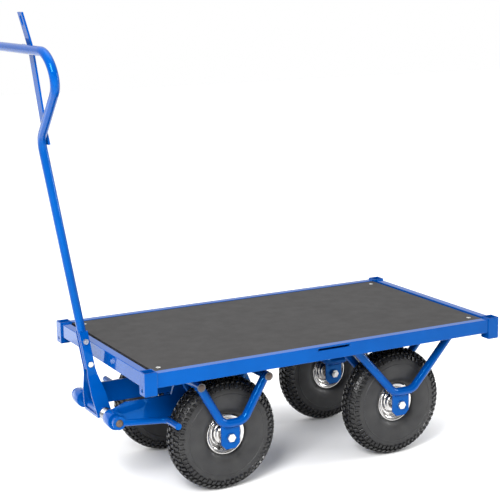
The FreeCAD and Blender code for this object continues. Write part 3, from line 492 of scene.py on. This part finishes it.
def facing_out(sign):
    """Turn Z to point out to one side of the trolley."""
    return Matrix(((1, 0, 0), (0, 0, sign), (0, -sign, 0))).to_4x4()


# ---------------------------------------------------------------- wheels

TYRE_SEGMENTS = 144
TREAD_DEPTH = 6.6
BLOCKS_ROUND = 58
BLOCK_ROWS = (
    # place across, half length, half share of the pitch, height, slant
    (0.0, 5.4, 0.33, 6.6, 0.20),
    (14.4, 5.2, 0.31, 6.6, -0.26),
    (28.4, 5.4, 0.30, 6.4, 0.28),
    (43.0, 6.2, 0.29, 5.0, -0.08),
)
TREAD_SEED = 7
# the blocks' material slot holds the darker tread rubber, whose extra darkness is painted shade
BLOCK_MATERIAL = 1
SHOULDER_LENGTHENING = (0.0, 1.6, 3.4)
# irregularity of the blocks, as shares of the pitch or of their own size
ROW_STAGGER = 0.5
SIDE_SHIFT = 0.06
PLACE_JITTER = 0.04
REACH_JITTER = (0.88, 1.06)
TURN_JITTER = (0.86, 1.08)
# a block's section: height above the crown in millimetres, with its share of the full size
BLOCK_ROOT, ROOT_SHARE = -1.2, 1.12
CHAMFER_DEPTH, CHAMFER_SHARE = 1.0, 0.93
TOP_SHARE = 0.72
# radius, height of the tyre's section, from the bead up to the shoulder
SIDEWALL = [
    (57.0, 24.6), (58.0, 26.0), (64.6, 26.6), (65.6, 29.4), (68.0, 32.6), (72.0, 35.8), (78.0, 38.8),
    (86.0, 40.9), (96.0, 41.9), (108.0, 42.0), (120.0, 41.7), (126.6, 41.2), (127.4, 42.0), (129.4, 41.9),
    (130.4, 40.8), (138.0, 40.2),
]
# the same from the shoulder to the middle of the tread
CROWN = [
    (145.0, 37.8), (151.5, 35.4), (157.0, 32.2), (161.8, 28.2), (165.4, 23.6), (168.2, 18.4), (170.2, 12.8),
    (171.2, 7.0),
]
UPPER_SIDEWALL_POINTS = 4
END_MARGIN = 0.01


class Crown:
    """The surface under the blocks, measured by the distance across from its middle."""

    def __init__(self, radius):
        self.points = list(reversed(CROWN + [(radius - TREAD_DEPTH, 0.0)]))
        self.points += list(reversed(SIDEWALL))[:UPPER_SIDEWALL_POINTS]
        self.along = [0.0]
        for (r0, h0), (r1, h1) in zip(self.points, self.points[1:]):
            self.along.append(self.along[-1] + math.hypot(r1 - r0, h1 - h0))

    def spot(self, across, lift):
        """(radius, height) of a point lifted off the surface, at a signed distance from the middle."""
        sign = -1.0 if across < 0 else 1.0
        distance = min(abs(across), self.along[-1] - END_MARGIN)
        index = max(i for i, start in enumerate(self.along[:-1]) if start <= distance)
        length = self.along[index + 1] - self.along[index]
        share = (distance - self.along[index]) / length
        (r0, h0), (r1, h1) = self.points[index], self.points[index + 1]
        out_r = (h1 - h0) / length
        out_h = (r0 - r1) / length
        radius = r0 + (r1 - r0) * share + out_r * lift
        height = h0 + (h1 - h0) * share + out_h * lift
        return radius, sign * height


def tread_block(build, crown, across, angle, half_across, half_angle, height, slant, chance):
    """One chamfered tread block, a little irregular, standing on the crown."""
    radius = crown.points[0][0]
    corners = []
    for side, way in ((-1, -1), (1, -1), (1, 1), (-1, 1)):
        reach = half_across * chance.uniform(*REACH_JITTER)
        turn = half_angle * chance.uniform(*TURN_JITTER)
        corners.append((side * reach, way * turn + slant * side * reach / radius))
    levels = []
    steps = ((BLOCK_ROOT, ROOT_SHARE), (height - CHAMFER_DEPTH, CHAMFER_SHARE), (height, TOP_SHARE))
    for lift, inset in steps:
        ring = []
        for offset, turn in corners:
            r, h = crown.spot(across + offset * inset, lift)
            theta = angle + turn * inset
            ring.append(build.verts.new(Vector((r * math.cos(theta), r * math.sin(theta), h)) * MM))
        levels.append(ring)
    for low, high in zip(levels, levels[1:]):
        for index in range(len(corners)):
            following = (index + 1) % len(corners)
            face = build.faces.new((low[index], low[following], high[following], high[index]))
            face.material_index = BLOCK_MATERIAL
    build.faces.new(levels[-1]).material_index = BLOCK_MATERIAL


def tyre_mesh(radius):
    """The carcass with a smooth sidewall, and rows of staggered tread blocks round its crown."""
    build = bmesh.new()
    turn_profile(build, mirrored(SIDEWALL + CROWN), TYRE_SEGMENTS)
    crown = Crown(radius)
    chance = random.Random(TREAD_SEED)
    pitch = FULL_TURN / BLOCKS_ROUND
    for row, (place, half_across, share, height, slant) in enumerate(BLOCK_ROWS):
        at_shoulder = row == len(BLOCK_ROWS) - 1
        for side in ((1,) if place == 0 else BOTH_WAYS):
            for index in range(BLOCKS_ROUND):
                longer = chance.choice(SHOULDER_LENGTHENING) if at_shoulder else 0.0
                reach = half_across + longer / 2
                middle = side * (place + longer / 2)
                jitter = chance.uniform(-PLACE_JITTER, PLACE_JITTER)
                angle = pitch * (index + ROW_STAGGER * (row % 2) + SIDE_SHIFT * side + jitter)
                tread_block(build, crown, middle, angle, reach, pitch * share, height, slant * side, chance)
    return finish_mesh("tyre", build, smooth_angle=30.0)


RIM_SEGMENTS = 112
# radius, height from the hub's end over the dish and the flange to the bead seat
RIM_FACE = [
    (16.0, 49.2), (16.8, 50.0), (19.2, 50.0), (20.0, 49.2), (20.0, 24.4), (20.7, 22.4), (22.4, 20.4),
    (25.0, 19.0), (29.5, 18.2), (32.8, 17.4), (34.8, 15.8), (36.2, 13.0), (37.8, 10.4), (40.0, 9.2),
    (42.6, 9.0), (44.8, 9.8), (46.4, 11.8), (47.4, 14.8), (48.2, 18.6), (49.2, 22.4), (51.0, 25.2),
    (53.6, 27.2), (56.8, 28.4), (59.6, 29.4), (61.6, 30.0), (63.1, 29.8), (63.9, 28.9), (64.0, 27.8),
    (63.3, 27.0), (61.4, 26.8), (57.6, 26.6), (55.6, 25.4), (54.8, 23.0), (54.4, 14.0),
]


def rim_mesh():
    """The pressed rim: hub tube, stepped dish, and a rolled flange on each side."""
    build = bmesh.new()
    turn_profile(build, mirrored(RIM_FACE), RIM_SEGMENTS)
    return finish_mesh("rim", build, smooth_angle=50.0)


VALVE_SEGMENTS = 20
VALVE_RIBS = 10
RIB_RADIUS, RIB_HEIGHT = 3.2, 20.5
RIB_SIZE = (0.7, 0.8, 5.6)
# radius, height above the valve's foot
VALVE_PROFILE = [
    (0.0, 26.0), (2.0, 25.8), (3.0, 24.9), (3.2, 23.6), (3.2, 17.4), (2.9, 17.0), (2.3, 16.8), (2.3, 14.6),
    (2.9, 13.8), (3.4, 11.0), (4.0, 4.0), (4.9, 1.2), (6.2, 0.3), (6.4, -0.9), (0.0, -0.9),
]


def valve_mesh():
    """A rubber stem with a ribbed screw cap."""
    build = bmesh.new()
    turn_profile(build, VALVE_PROFILE, VALVE_SEGMENTS, closed=False)
    for index in range(VALVE_RIBS):
        turn = Matrix.Rotation(FULL_TURN * index / VALVE_RIBS, 4, "Z")
        out = Matrix.Translation((RIB_RADIUS * MM, 0, RIB_HEIGHT * MM))
        rib = turn @ out @ Matrix.Diagonal((*RIB_SIZE, 1))
        bmesh.ops.create_cube(build, size=MM, matrix=rib)
    return finish_mesh("valve", build)


def wheel_place(end, side, sign):
    """The wheel's own frame: origin at its centre, Z pointing out to its side."""
    low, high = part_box("tyre_%s_%s" % (end, side))
    return Matrix.Translation((low + high) / 2) @ facing_out(sign)


def dress_wheels():
    """A treaded tyre, a pressed rim and a valve stem on each of the four wheels."""
    low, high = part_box("tyre_front_near")
    tyre = tyre_mesh((high.z - low.z) / 2 / MM)
    rim = rim_mesh()
    valve = valve_mesh()
    for end in ENDS:
        for side, sign in SIDES:
            suffix = "%s_%s" % (end, side)
            body = "wheel_" + suffix
            place = wheel_place(end, side, sign)
            add_piece("treaded_tyre_" + suffix, tyre, body, [RUBBER, TREAD_PAINTED_SHADE], place,
                      ["tyre_" + suffix])
            add_piece("pressed_rim_" + suffix, rim, body, [RIM], place, ["rim_" + suffix])
            low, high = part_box("valve_" + suffix)
            foot = Vector(((low.x + high.x) / 2, low.y if sign > 0 else high.y, (low.z + high.z) / 2))
            stem = Matrix.Translation(foot) @ place.to_3x3().to_4x4()
            add_piece("valve_stem_" + suffix, valve, body, [BLACK], stem,
                      ["valve_" + suffix])


# ---------------------------------------------------------------- caps and screws

TUBE_CAP = [
    # radius, height above the tube's end
    (0.0, 3.4), (4.0, 3.3), (7.4, 2.9), (9.4, 2.2), (10.0, 1.4),
]
TUBE_CAP_RING = [
    (10.0, 1.4), (10.5, 1.9), (12.0, 2.0), (13.1, 1.4), (13.4, 0.0), (10.6, -0.2), (10.4, -9.0), (0.0, -9.0),
]
PIVOT_CAP = [
    (0.0, 3.9), (4.0, 3.8), (7.4, 3.4), (9.6, 2.6), (10.4, 2.0),
]
PIVOT_CAP_RING = [
    (10.4, 2.0), (10.9, 1.9), (11.5, 1.2), (11.8, 0.1), (0.0, 0.1),
]
CAP_HEIGHT = 4.0
CAP_SEGMENTS = 40
MICRON_DIGITS = 6


def cap_set(name, body, node, profile, ring, materials):
    """Rounded plastic caps in place of a node's plain ones: a domed middle in a raised ring."""
    low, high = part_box(node)
    radius = (high.z - low.z) / 2
    build = bmesh.new()
    ends = (low.x + radius, high.x - radius)
    for place_x in sorted({round(end, MICRON_DIGITS) for end in ends}):
        for sign in BOTH_WAYS:
            spot = Vector((place_x, sign * (high.y - CAP_HEIGHT * MM), (low.z + high.z) / 2))
            place = Matrix.Translation(spot) @ facing_out(sign)
            turn_profile(build, profile, CAP_SEGMENTS, closed=False, place=place)
            turn_profile(build, ring, CAP_SEGMENTS, closed=False, place=place, material=1)
    caps = finish_mesh(name, build, smooth_angle=40.0)
    add_piece(name, caps, body, materials, replaced=[node])


SCREW_SEED = 3
SCREW_RADIUS = 8.0
SCREW_SEGMENTS = 48
# the cross recess: reach, bottom, width of its waist, and how pointed its arms are
RECESS = 3.9
RECESS_BOTTOM = -2.0
RECESS_WIDTH = 0.36
RECESS_SHARPNESS = 5
SCREW_HEAD = [
    # radius, height above the deck
    (0.0, -1.9), (2.4, -1.7), (3.6, 0.0), (4.2, 0.5), (6.2, 0.3), (7.5, -0.1), (7.9, -0.7), (7.9, -2.6),
    (3.0, -2.7), (3.0, -14.0), (0.0, -14.4),
]


def screw_head(build, place):
    """A flat screw head with a cross recess."""
    head = bmesh.new()
    turn_profile(head, SCREW_HEAD, SCREW_SEGMENTS, closed=False)
    for vertex in head.verts:
        reach = math.hypot(vertex.co.x, vertex.co.y) / MM
        if 0 < reach < RECESS and vertex.co.z > RECESS_BOTTOM * MM:
            arm = abs(math.cos(2 * math.atan2(vertex.co.y, vertex.co.x))) ** RECESS_SHARPNESS
            pull = RECESS_WIDTH + (1.0 - RECESS_WIDTH) * arm
            vertex.co.x *= pull
            vertex.co.y *= pull
    head.transform(place)
    copy = bpy.data.meshes.new("screw_head")
    head.to_mesh(copy)
    head.free()
    build.from_mesh(copy)
    bpy.data.meshes.remove(copy)


def dress_screws():
    """The deck's four screws, each turned by chance."""
    low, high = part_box("deck_screws")
    deck_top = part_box("deck_panel")[1].z
    radius = SCREW_RADIUS * MM
    chance = random.Random(SCREW_SEED)
    build = bmesh.new()
    for place_x in (low.x + radius, high.x - radius):
        for place_y in (low.y + radius, high.y - radius):
            turn = Matrix.Rotation(chance.uniform(0, math.pi), 4, "Z")
            screw_head(build, Matrix.Translation((place_x, place_y, deck_top)) @ turn)
    screws = finish_mesh("screws", build, smooth_angle=30.0)
    add_piece("cross_head_screws", screws, "chassis", [ZINC], replaced=["deck_screws"])


# ---------------------------------------------------------------- welds

BEAD_RADIUS = 2.0
BEAD_STEP = 1.2
RIPPLE_PITCH = 3.6
BEAD_SIDES = 8
FEWEST_STEPS = 4
RIPPLE_LOW, RIPPLE_RISE = 0.82, 0.26
TAPER_START, TAPER_RISE = 0.45, 0.25
STEEP = 0.9
ROUNDING = 1e-9


def weld_bead(build, path):
    """A rippled bead along points in millimetres, thin at both ends."""
    points = [Vector(point) for point in path]
    lengths = [0.0]
    for first, second in zip(points, points[1:]):
        lengths.append(lengths[-1] + (second - first).length)
    count = max(FEWEST_STEPS, int(lengths[-1] / BEAD_STEP))
    rings = []
    for step in range(count + 1):
        along = lengths[-1] * step / count
        index = max(i for i, start in enumerate(lengths[:-1]) if start <= along + ROUNDING)
        first, second = points[index], points[index + 1]
        tangent = (second - first).normalized()
        spot = first + tangent * (along - lengths[index])
        across = tangent.cross(X_AXIS if abs(tangent.z) > STEEP else Z_AXIS).normalized()
        upward = across.cross(tangent)
        ripple = RIPPLE_LOW + RIPPLE_RISE * abs(math.sin(math.pi * along / RIPPLE_PITCH))
        taper = min(1.0, TAPER_START + TAPER_RISE * min(step, count - step))
        reach = BEAD_RADIUS * ripple * taper
        ring = []
        for corner in range(BEAD_SIDES):
            angle = FULL_TURN * corner / BEAD_SIDES
            offset = across * math.cos(angle) + upward * math.sin(angle)
            ring.append(build.verts.new((spot + offset * reach) * MM))
        rings.append(ring)
    for low, high in zip(rings, rings[1:]):
        for corner in range(BEAD_SIDES):
            following = (corner + 1) % BEAD_SIDES
            build.faces.new((low[corner], low[following], high[following], high[corner]))
    build.faces.new(rings[0])
    build.faces.new(rings[-1])


def add_welds(build, name, body):
    """All the beads of one body as one painted piece."""
    beads = finish_mesh(name, build, smooth_angle=60.0)
    add_piece(name, beads, body, [PAINT])


def arc(centre, first, second, start, end, steps=24):
    """Points round a centre from start to end degrees, in the plane of two half-axis vectors."""
    path = []
    for step in range(steps + 1):
        angle = math.radians(start + (end - start) * step / steps)
        path.append(Vector(centre) + Vector(first) * math.cos(angle) + Vector(second) * math.sin(angle))
    return path


# outer radius of the fork, bogie and drawbar tubes
TUBE = 13.45
FORK_PLACES = (265.0, 144.0)

FRONT_AXLE_X = 315.0
REAR_AXLE_X = -307.0
# distance of a bead's middle from the axle plate's middle plane
PLATE_FACE = 4.4
PLATE_REACH = 29.0
# the bead stops this far short of the plate's front corner
PLATE_WELD_SHORT = 8.0
PLATE_WELD_Z = 208.4


def plate_welds(build, axle_x, place_y):
    """Both faces of an axle plate along the underside of its fork's tube."""
    start = axle_x - PLATE_REACH
    end = axle_x + PLATE_REACH - PLATE_WELD_SHORT
    for face in (PLATE_FACE, -PLATE_FACE):
        weld_bead(build, [(start, place_y + face, PLATE_WELD_Z), (end, place_y + face, PLATE_WELD_Z)])


SOCKET_X = 590.3
SOCKET_Y = 313.2
RAIL_FACE_X = 625.3
RAIL_FACE_Y = 350.3
RAIL_LOW = 400.0
RAIL_TOP = 442.2
TOP_SEAM_X = (600.0, 623.0)
TOP_SEAM_Y = (325.0, 348.0)
SLOT_END = 57.5
SLOT_LOW = 428.5
SLOT_HIGH = 437.5


def frame_corner_welds(build, end, side):
    """The seams between a corner socket and its two rails, and one end of the side pocket's slot."""
    x, y = end * SOCKET_X, side * RAIL_FACE_Y
    weld_bead(build, [(x, y, RAIL_LOW), (x, y, RAIL_TOP)])
    weld_bead(build, [(x, side * seam, RAIL_TOP) for seam in TOP_SEAM_Y])
    x, y = end * RAIL_FACE_X, side * SOCKET_Y
    weld_bead(build, [(x, y, RAIL_LOW), (x, y, RAIL_TOP)])
    weld_bead(build, [(end * seam, y, RAIL_TOP) for seam in TOP_SEAM_X])
    x, y = end * SLOT_END, side * RAIL_FACE_Y
    weld_bead(build, [(x, y, SLOT_LOW), (x, y, SLOT_HIGH)])


REAR_FORK_X = -317.0
REAR_LEG_REACH = 194.5
REAR_LEG_TOP = 397.6
REAR_LEG_AXIS = 18.2
LEG_SEAM_STEPS = 48


def chassis_welds():
    """The beads of the frame and of the rear forks."""
    build = bmesh.new()
    for end in BOTH_WAYS:
        for side in BOTH_WAYS:
            frame_corner_welds(build, end, side)
    for side in BOTH_WAYS:
        for place in FORK_PLACES:
            for end in BOTH_WAYS:
                centre = (REAR_FORK_X + end * REAR_LEG_REACH, side * place, REAR_LEG_TOP)
                seam = arc(centre, (REAR_LEG_AXIS, 0, 0), (0, TUBE, 0), 0, 360, LEG_SEAM_STEPS)
                weld_bead(build, seam)
            plate_welds(build, REAR_AXLE_X, side * place)
    add_welds(build, "chassis_welds", "chassis")


LEG_ANGLE = math.radians(60)
BOGIE_X = 305.0
BOGIE_SPREAD = 114.0
ARM_FACES = (109.6, 118.4)
ARM_SEAM = (190, 350)
SEAM_GAP = 0.6
PIVOT_X = 635.0
PIVOT_Z = 248.0
BARREL = 27.4
BARREL_SEAM = (110, 250)
SADDLE_GAP = 0.4


def saddle(centre, lean):
    """The seam where a fork leg meets a cross tube of the same radius."""
    up = Vector((lean * math.cos(LEG_ANGLE), 0, math.sin(LEG_ANGLE)))
    across = Vector((up.z, 0, -up.x))
    path = []
    for step in range(LEG_SEAM_STEPS + 1):
        angle = FULL_TURN * step / LEG_SEAM_STEPS
        spot = Vector(centre) - up * TUBE * abs(math.sin(angle))
        path.append(spot + (across * math.cos(angle) + Y_AXIS * math.sin(angle)) * (TUBE + SADDLE_GAP))
    return path


def bogie_welds():
    """The beads of the front forks, the steering arms and their barrels."""
    low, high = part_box("bogie_tube_front")
    tube_z = (low.z + high.z) / 2 / MM
    reach = TUBE + SEAM_GAP
    build = bmesh.new()
    for side in BOTH_WAYS:
        for place in FORK_PLACES:
            for lean in BOTH_WAYS:
                weld_bead(build, saddle((BOGIE_X + lean * BOGIE_SPREAD, side * place, tube_z), lean))
            plate_welds(build, FRONT_AXLE_X, side * place)
        for face in ARM_FACES:
            for lean in BOTH_WAYS:
                centre = (BOGIE_X + lean * BOGIE_SPREAD, side * face, tube_z)
                weld_bead(build, arc(centre, (reach, 0, 0), (0, 0, reach), *ARM_SEAM))
            centre = (PIVOT_X, side * face, PIVOT_Z)
            weld_bead(build, arc(centre, (BARREL, 0, 0), (0, 0, BARREL), *BARREL_SEAM))
    add_welds(build, "bogie_welds", "bogie")


DRAWBAR_LEAN = math.radians(9.9)
FORWARD = Vector((math.cos(DRAWBAR_LEAN), 0, -math.sin(DRAWBAR_LEAN)))
UPWARD = Vector((math.sin(DRAWBAR_LEAN), 0, math.cos(DRAWBAR_LEAN)))
BAR_WELD_AHEAD = -12.6
BAR_WELD_Y = 6.0
BAR_WELD_ENDS = (836.0, 866.0)
GRIP_ALONG = 1116.0
GRIP_WELD_Y = 8.0
GRIP_GAP = 0.5
GRIP_SEAM = (120, 240)


def on_drawbar(ahead, across, along):
    """A point in millimetres given in the drawbar's own leaning directions from its pivot."""
    return Vector((PIVOT_X, across, PIVOT_Z)) + FORWARD * ahead + UPWARD * along


def drawbar_welds():
    """The beads that hold the tow bar to the drawbar's tube and to its grip."""
    build = bmesh.new()
    reach = TUBE + GRIP_GAP
    for side in BOTH_WAYS:
        weld_bead(build, [on_drawbar(BAR_WELD_AHEAD, side * BAR_WELD_Y, along) for along in BAR_WELD_ENDS])
        centre = on_drawbar(0, side * GRIP_WELD_Y, GRIP_ALONG)
        weld_bead(build, arc(centre, FORWARD * reach, UPWARD * reach, *GRIP_SEAM))
    add_welds(build, "drawbar_welds", "drawbar")


# ---------------------------------------------------------------- floor and assembly

FLOOR_REACH = 14.0
FLOOR_CELLS = 24


def lay_floor():
    """A plain pale floor at height zero."""
    build = bmesh.new()
    bmesh.ops.create_grid(build, x_segments=FLOOR_CELLS, y_segments=FLOOR_CELLS, size=FLOOR_REACH)
    mesh = bpy.data.meshes.new("floor")
    build.to_mesh(mesh)
    build.free()
    mesh.materials.append(studio_floor())
    floor = bpy.data.objects.new("floor", mesh)
    bpy.context.scene.collection.objects.link(floor)


coat_cad_nodes()
round_cad_edges()
dress_wheels()
cap_set("bogie_caps", "bogie", "bogie_tube_caps", TUBE_CAP, TUBE_CAP_RING, [BROWN, GREY])
cap_set("pivot_end_caps", "drawbar", "pivot_caps", PIVOT_CAP, PIVOT_CAP_RING,
        [BROWN, BLACK])
dress_screws()
chassis_welds()
bogie_welds()
drawbar_welds()
lay_floor()
place_camera()
light_studio()
